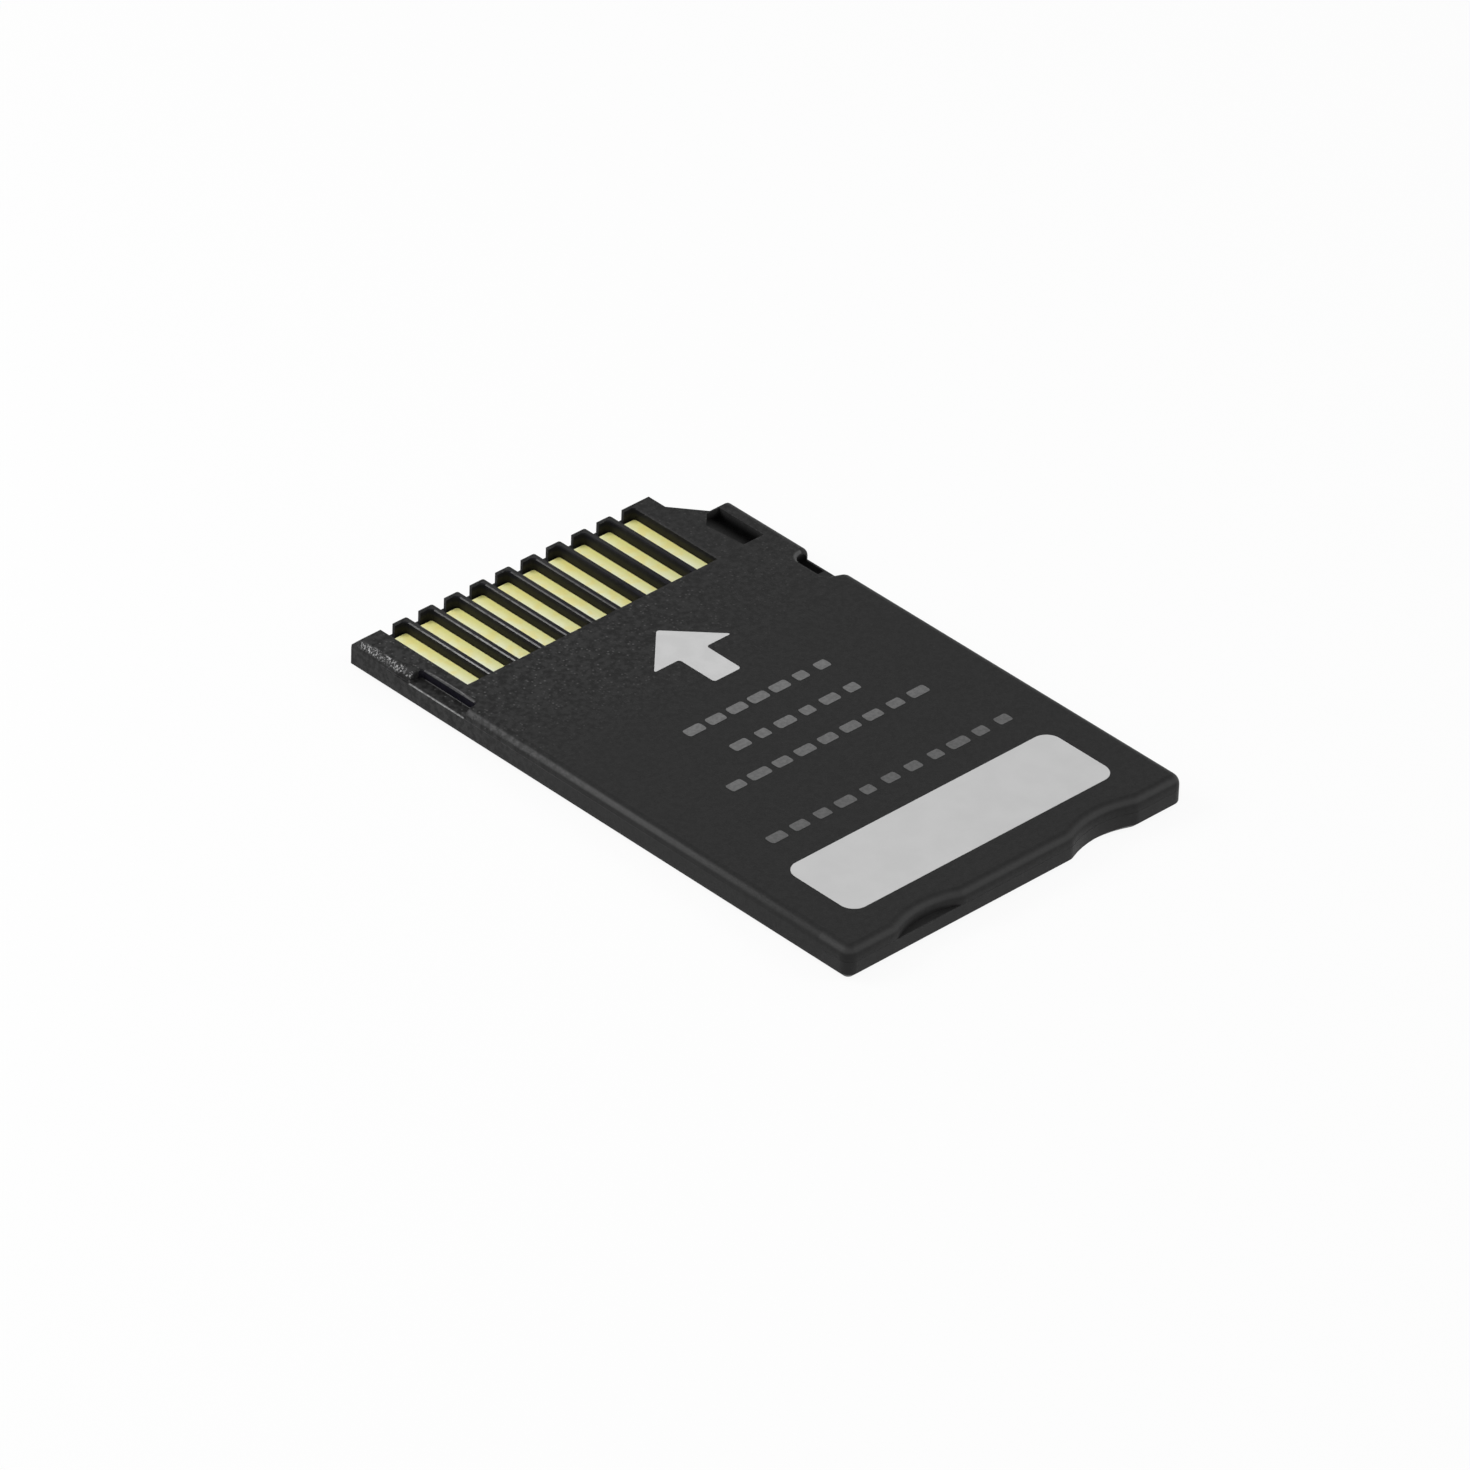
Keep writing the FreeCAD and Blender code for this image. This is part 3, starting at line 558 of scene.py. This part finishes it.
def smooth_copy(node, name, materials, pick, cuts):
    """A copy of a CAD node with whole faces, smooth where it is round and sharp at its edges.
    The faces are cut at the given places along the card, and pick says which material each gets."""
    mesh = nodes[node].data.copy()
    mesh.name = name
    mesh.materials.clear()
    for material in materials:
        mesh.materials.append(material)
    work = bmesh.new()
    work.from_mesh(mesh)
    bmesh.ops.remove_doubles(work, verts=work.verts, dist=SAME_POINT)
    bmesh.ops.dissolve_limit(work, angle_limit=SAME_PLANE, verts=work.verts, edges=work.edges,
                             use_dissolve_boundaries=False)
    for place in cuts:
        geometry = work.verts[:] + work.edges[:] + work.faces[:]
        bmesh.ops.bisect_plane(work, geom=geometry, dist=ON_THE_CUT, plane_co=(0, place, 0),
                               plane_no=(0, 1, 0))
    work.normal_update()
    for face in work.faces:
        face.smooth = True
        face.material_index = pick(face)
    work.to_mesh(mesh)
    work.free()
    mesh.set_sharp_from_angle(angle=SHARP_ANGLE)
    piece = bpy.data.objects.new(name, mesh)
    bpy.context.scene.collection.objects.link(piece)
    weighted = piece.modifiers.new("EvenShading", "WEIGHTED_NORMAL")
    weighted.keep_sharp = True
    weighted.weight = 100
    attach(piece, "root")
    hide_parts(node)
    return piece


PLAIN_FACE, SLOT_FACE, BEVEL_FACE, SHADE_FACE = range(4)
TRAY_FACE, NOTCH_SHADE_FACE = range(2)
BEVEL_WAY = Vector((-1, 0, 1)).normalized()
BEVEL_MATCH = 0.998
BEVEL_RIGHT_END = 0.8 * MM
NOTCH_MARGIN = 0.1 * MM
FRONT_RIM_LENGTH = 0.5 * MM
CLOSE = 0.004 * MM


def contact_shell_finish(face):
    """Which of the contact side shell's four finishes a face gets."""
    across, along, height = face.calc_center_median()
    rise = face.normal.z
    in_slots = (SLOT_LEFT - CLOSE < across < SLOT_RIGHT + CLOSE
                and SLOT_REAR - CLOSE < along < SLOT_FRONT + CLOSE)
    by_left_notch = (LEFT_NOTCH_REAR < along < LEFT_NOTCH_FRONT
                     and across < LEFT_NOTCH_RIGHT + NOTCH_MARGIN)
    is_bevel = face.normal.dot(BEVEL_WAY) > BEVEL_MATCH and across < BEVEL_RIGHT_END
    if is_bevel and (in_slots or by_left_notch):
        return BEVEL_FACE
    is_left_notch_wall = by_left_notch and across > CARD_LOW.x + CLOSE and abs(rise) < 0.7
    if in_slots or is_left_notch_wall:
        return SLOT_FACE
    in_recess = (RECESS_LEFT - CLOSE < across < RECESS_RIGHT + CLOSE
                 and RECESS_REAR - CLOSE < along < RECESS_FRONT + CLOSE
                 and height < TOP - CLOSE)
    in_right_notch = (RIGHT_NOTCH_LEFT - RIGHT_NOTCH_RIM < across < CARD_HIGH.x - CLOSE
                      and RIGHT_NOTCH_REAR < along < RIGHT_NOTCH_FRONT + CLOSE
                      and rise < 0.95)
    is_front_rim = along > RIGHT_NOTCH_FRONT - FRONT_RIM_LENGTH and rise > 0.3
    # The recess and the right notch's walls take the painted shade.
    if in_recess or (in_right_notch and not is_front_rim):
        return SHADE_FACE
    return PLAIN_FACE


def label_shell_finish(face):
    """Painted shade at the bottom of the right notch, and the tray's own plastic elsewhere."""
    middle = face.calc_center_median()
    # Painted shade on the notch floor beside the inner wall.
    in_notch_shade = (middle.x > RIGHT_NOTCH_LEFT - RIGHT_NOTCH_RIM and face.normal.z > 0.9
              and RIGHT_NOTCH_SHADE_REAR < middle.y < RIGHT_NOTCH_FRONT)
    return NOTCH_SHADE_FACE if in_notch_shade else TRAY_FACE


def make_shells():
    smooth_copy("contact_side_shell", "contact_shell",
                (shell_black, slot_black, bright_edge, shade_black), contact_shell_finish,
                (SLOT_REAR, SLOT_FRONT))
    smooth_copy("label_side_shell", "label_shell", (tray_black, shade_black),
                label_shell_finish, (RIGHT_NOTCH_SHADE_REAR, RIGHT_NOTCH_FRONT))


# The pieces that keep their own meshes

FINISHES = {
    "writing_panel": panel_ink,
    "circuit_board": board_green,
    "memory_package": package_resin,
    "controller_package": package_resin,
    "memory_solder_lands": solder_tin,
    "controller_solder_lands": solder_tin,
    "capacitor_terminals": solder_tin,
    "resistor_terminals": solder_tin,
    "capacitor_bodies": chip_ceramic,
    "resistor_bodies": resistor_glaze,
}
CONTACT_COUNT = 10


def dress(name, material):
    """Gives a CAD node one material."""
    mesh = nodes[name].data
    mesh.materials.clear()
    mesh.materials.append(material)


def dress_nodes():
    for number in range(1, CONTACT_COUNT + 1):
        dress(f"contact_pad_{number}", contact_gold)
    for name, material in FINISHES.items():
        dress(name, material)


# Print

INK_THICKNESS = 0.008 * MM


def print_film(name, work, material):
    """Turns flat faces on the top into a thin closed ink film."""
    raised = bmesh.ops.extrude_face_region(work, geom=work.faces[:])
    tops = [item for item in raised["geom"] if isinstance(item, bmesh.types.BMVert)]
    bmesh.ops.translate(work, verts=tops, vec=(0, 0, INK_THICKNESS))
    bmesh.ops.recalc_face_normals(work, faces=work.faces)
    mesh = bpy.data.meshes.new(name)
    work.to_mesh(mesh)
    work.free()
    mesh.materials.append(material)
    piece = bpy.data.objects.new(name, mesh)
    bpy.context.scene.collection.objects.link(piece)
    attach(piece, "root")
    return piece


ARROW_X = 0.4 * MM
ARROW_TIP_Y = 7.3 * MM
ARROW_NECK_Y = 5.0 * MM
ARROW_TAIL_Y = 2.8 * MM
ARROW_HALF_HEAD = 2.3 * MM
ARROW_HALF_SHAFT = 0.8 * MM
ARROW_ROUNDING = 0.16 * MM
ROUNDING_STEPS = 5


def make_arrow():
    """Arrow that shows which end goes in first."""
    right_half = [(ARROW_HALF_HEAD, ARROW_NECK_Y), (ARROW_HALF_SHAFT, ARROW_NECK_Y),
                  (ARROW_HALF_SHAFT, ARROW_TAIL_Y)]
    left_half = [(-x, y) for x, y in reversed(right_half)]
    work = bmesh.new()
    corners = [work.verts.new((ARROW_X + x, y, TOP))
               for x, y in [(0.0, ARROW_TIP_Y)] + right_half + left_half]
    work.faces.new(corners)
    bmesh.ops.bevel(work, geom=work.verts[:], offset=ARROW_ROUNDING, segments=ROUNDING_STEPS,
                    profile=0.5, affect="VERTICES")
    return print_film("insertion_arrow", work, arrow_ink)


# Each row's left end, right end and middle line, in millimetres

BAR_ROWS = {
    "upper_bars": (-4.2, 4.65, 0.70),
    "middle_bars": (-3.5, 4.45, -1.40),
    "lower_bars": (-5.75, 6.4, -3.50),
    "rear_bars": (-7.1, 7.7, -7.40),
}
FIRST_SEED = 3
BAR_HEIGHT = 0.56 * MM
BAR_ROUNDING = 0.16 * MM
BAR_CORNER_STEPS = 4
BAR_PITCH = 1.25 * MM
BAR_SHORTEST = 0.45
BAR_LONGEST = 0.85


def make_bar_tree():
    """Geometry nodes for a row of rounded bars whose lengths vary."""
    tree = bpy.data.node_groups.new("bar_row", "GeometryNodeTree")
    face = tree.interface
    for label, kind, value in (
        ("Start", "NodeSocketVector", (0.0, 0.0, 0.0)),
        ("Count", "NodeSocketInt", 6),
        ("Pitch", "NodeSocketFloat", BAR_PITCH),
        ("Height", "NodeSocketFloat", BAR_HEIGHT),
        ("Rounding", "NodeSocketFloat", BAR_ROUNDING),
        ("Seed", "NodeSocketInt", 1),
        ("Ink", "NodeSocketMaterial", None),
    ):
        socket = face.new_socket(label, in_out="INPUT", socket_type=kind)
        if value is not None:
            socket.default_value = value
    face.new_socket("Geometry", in_out="OUTPUT", socket_type="NodeSocketGeometry")
    inner = tree.nodes.new("NodeGroupInput").outputs
    outer = tree.nodes.new("NodeGroupOutput")

    step = tree.nodes.new("ShaderNodeCombineXYZ")
    link(tree, inner["Pitch"], step.inputs["X"])
    line = tree.nodes.new("GeometryNodeMeshLine")
    link(tree, inner["Count"], line.inputs["Count"])
    link(tree, inner["Start"], line.inputs["Start Location"])
    link(tree, step.outputs[0], line.inputs["Offset"])

    outline = tree.nodes.new("GeometryNodeCurvePrimitiveQuadrilateral")
    link(tree, inner["Pitch"], outline.inputs["Width"])
    link(tree, inner["Height"], outline.inputs["Height"])
    rounded = add(tree, "GeometryNodeFilletCurve", mode="POLY")
    link(tree, outline.outputs[0], rounded.inputs["Curve"])
    rounded.inputs["Count"].default_value = BAR_CORNER_STEPS
    link(tree, inner["Rounding"], rounded.inputs["Radius"])
    bar = add(tree, "GeometryNodeFillCurve", mode="NGONS")
    link(tree, rounded.outputs[0], bar.inputs["Curve"])

    share = add(tree, "FunctionNodeRandomValue", data_type="FLOAT")
    shortest, longest = [socket for socket in share.inputs if socket.type == "VALUE"][:2]
    shortest.default_value = BAR_SHORTEST
    longest.default_value = BAR_LONGEST
    link(tree, inner["Seed"], share.inputs["Seed"])
    stretch = tree.nodes.new("ShaderNodeCombineXYZ")
    lengths = next(socket for socket in share.outputs if socket.type == "VALUE")
    link(tree, lengths, stretch.inputs["X"])
    stretch.inputs["Y"].default_value = 1.0
    stretch.inputs["Z"].default_value = 1.0

    spread = tree.nodes.new("GeometryNodeInstanceOnPoints")
    link(tree, line.outputs[0], spread.inputs["Points"])
    link(tree, bar.outputs[0], spread.inputs["Instance"])
    link(tree, stretch.outputs[0], spread.inputs["Scale"])
    real = tree.nodes.new("GeometryNodeRealizeInstances")
    link(tree, spread.outputs[0], real.inputs[0])
    inked = tree.nodes.new("GeometryNodeSetMaterial")
    link(tree, real.outputs[0], inked.inputs["Geometry"])
    link(tree, inner["Ink"], inked.inputs["Material"])
    link(tree, inked.outputs[0], outer.inputs[0])
    return tree


def input_identifier(tree, label):
    """The name by which a modifier knows one of its tree's inputs."""
    return next(item.identifier for item in tree.interface.items_tree
                if item.item_type == "SOCKET" and item.name == label and item.in_out == "INPUT")


def baked_mesh(maker):
    """Turns a modifier's result into a plain mesh, and removes its maker."""
    graph = bpy.context.evaluated_depsgraph_get()
    mesh = bpy.data.meshes.new_from_object(maker.evaluated_get(graph))
    bpy.data.objects.remove(maker)
    return mesh


def make_bar_row(tree, name, left, right, middle, seed):
    """One printed row: as many bars as fit between its ends, evenly spaced."""
    maker = bpy.data.objects.new(name + "_maker", bpy.data.meshes.new(name + "_maker"))
    bpy.context.scene.collection.objects.link(maker)
    modifier = maker.modifiers.new("Bars", "NODES")
    modifier.node_group = tree
    count = int((right - left) / BAR_PITCH)
    pitch = (right - left) / count
    start = (left + pitch / 2, middle, TOP)
    for label, value in (("Start", start), ("Count", count), ("Pitch", pitch),
                         ("Height", BAR_HEIGHT), ("Rounding", BAR_ROUNDING), ("Seed", seed),
                         ("Ink", row_ink)):
        modifier[input_identifier(tree, label)] = value
    work = bmesh.new()
    work.from_mesh(baked_mesh(maker))
    return print_film(name, work, row_ink)


def make_bar_rows():
    tree = make_bar_tree()
    for seed, (name, places) in enumerate(BAR_ROWS.items(), start=FIRST_SEED):
        left, right, middle = (place * MM for place in places)
        make_bar_row(tree, name, left, right, middle, seed)


# Stage: table, lights, surroundings and camera

WHITE = (1.0, 1.0, 1.0, 1.0)
TABLE_GREY = (0.8, 0.8, 0.8, 1.0)
TABLE_HALF = 3.0
TABLE_GLOW_SHARE = 0.92
BACKDROP_LOW = math.sin(math.radians(12))
BACKDROP_HIGH = math.sin(math.radians(32))
DIM_ABOVE = 0.5
SKY_LIGHT = 0.42


def seen_directly(tree):
    """1 for a ray from the camera, a mirror or glass, 0 for a ray that only carries light."""
    path = tree.nodes.new("ShaderNodeLightPath").outputs
    mirror = math_node(tree, "MAXIMUM", path["Is Glossy Ray"], path["Is Transmission Ray"])
    return math_node(tree, "MAXIMUM", path["Is Camera Ray"], mirror)


def make_table():
    """A plain table that looks white, and still shows the card's shadow."""
    material, tree, surface = new_material("table_white")
    surface.inputs["Base Color"].default_value = TABLE_GREY
    surface.inputs["Roughness"].default_value = 0.9
    surface.inputs["Specular IOR Level"].default_value = 0.0
    glow = tree.nodes.new("ShaderNodeEmission")
    glow.inputs["Color"].default_value = WHITE
    blend = tree.nodes.new("ShaderNodeMixShader")
    link(tree, times(tree, seen_directly(tree), TABLE_GLOW_SHARE), blend.inputs[0])
    link(tree, surface.outputs[0], blend.inputs[1])
    link(tree, glow.outputs[0], blend.inputs[2])
    link(tree, blend.outputs[0], tree.nodes["Material Output"].inputs["Surface"])
    mesh = bpy.data.meshes.new("table")
    corners = [(-TABLE_HALF, -TABLE_HALF), (TABLE_HALF, -TABLE_HALF), (TABLE_HALF, TABLE_HALF),
               (-TABLE_HALF, TABLE_HALF)]
    mesh.from_pydata([(x, y, CARD_LOW.z) for x, y in corners], [], [(0, 1, 2, 3)])
    mesh.materials.append(material)
    table = bpy.data.objects.new("table", mesh)
    bpy.context.scene.collection.objects.link(table)
    return table


def make_surroundings():
    """White around the table, and dimmer above it."""
    world = bpy.data.worlds.new("studio")
    world.use_nodes = True
    tree = world.node_tree
    sky = tree.nodes["Background"]
    sky.inputs["Color"].default_value = WHITE
    looked_at = tree.nodes.new("ShaderNodeSeparateXYZ")
    link(tree, tree.nodes.new("ShaderNodeTexCoord").outputs["Generated"], looked_at.inputs[0])
    backdrop = map_range(tree, looked_at.outputs["Z"], BACKDROP_LOW, BACKDROP_HIGH, 1.0, DIM_ABOVE)
    seen = seen_directly(tree)
    unseen = math_node(tree, "SUBTRACT", 1.0, seen)
    light = math_node(tree, "ADD", times(tree, seen, backdrop), times(tree, unseen, SKY_LIGHT))
    link(tree, light, sky.inputs["Strength"])
    bpy.context.scene.world = world


def direction(azimuth, elevation):
    """Azimuth 0 is on the -Y side, 90 on the +X side."""
    turn, rise = math.radians(azimuth), math.radians(elevation)
    return Vector((math.sin(turn) * math.cos(rise), -math.cos(turn) * math.cos(rise),
                   math.sin(rise)))


def make_lamp(name, azimuth, elevation, distance, size, power):
    """A square soft box that looks at the card."""
    light = bpy.data.lights.new(name, "AREA")
    light.shape = "SQUARE"
    light.size = size
    light.energy = power
    lamp = bpy.data.objects.new(name, light)
    bpy.context.scene.collection.objects.link(lamp)
    away = direction(azimuth, elevation)
    lamp.location = away * distance
    lamp.rotation_euler = (-away).to_track_quat("-Z", "Y").to_euler()
    return lamp


def make_lamps():
    make_lamp("key_lamp", azimuth=-135, elevation=38, distance=0.18, size=0.09, power=0.17)
    make_lamp("top_lamp", azimuth=-45, elevation=56, distance=0.7, size=0.5, power=1.0)
    make_lamp("rear_lamp", azimuth=45, elevation=36, distance=0.6, size=0.24, power=0.9)


CAMERA_AZIMUTH = -44.852
CAMERA_ELEVATION = 34.543
CAMERA_ROLL = 2.244
CAMERA_DISTANCE = 559.95 * MM
CAMERA_AIM = Vector((-1.703, 0.104, 0.8)) * MM
CAMERA_SENSOR = 36.0
CAMERA_LENS = 319.23
CAMERA_NEAR = 0.01
CAMERA_FAR = 20.0


def make_camera():
    """The photograph's own view, turned a little about its line of sight."""
    back = direction(CAMERA_AZIMUTH, CAMERA_ELEVATION)
    turn = math.radians(CAMERA_AZIMUTH)
    right = Vector((math.cos(turn), math.sin(turn), 0.0))
    up = back.cross(right)
    roll = math.radians(CAMERA_ROLL)
    rolled_right = right * math.cos(roll) + up * math.sin(roll)
    rolled_up = up * math.cos(roll) - right * math.sin(roll)
    data = bpy.data.cameras.new("camera")
    data.sensor_width = CAMERA_SENSOR
    data.lens = CAMERA_LENS
    data.clip_start = CAMERA_NEAR
    data.clip_end = CAMERA_FAR
    camera = bpy.data.objects.new("camera", data)
    bpy.context.scene.collection.objects.link(camera)
    turn_matrix = Matrix((rolled_right, rolled_up, back)).transposed().to_4x4()
    camera.matrix_world = Matrix.Translation(CAMERA_AIM + back * CAMERA_DISTANCE) @ turn_matrix
    bpy.context.scene.camera = camera


make_shells()
dress_nodes()
make_arrow()
make_bar_rows()
make_table()
make_surroundings()
make_lamps()
make_camera()
bpy.context.scene.view_settings.view_transform = "Standard"
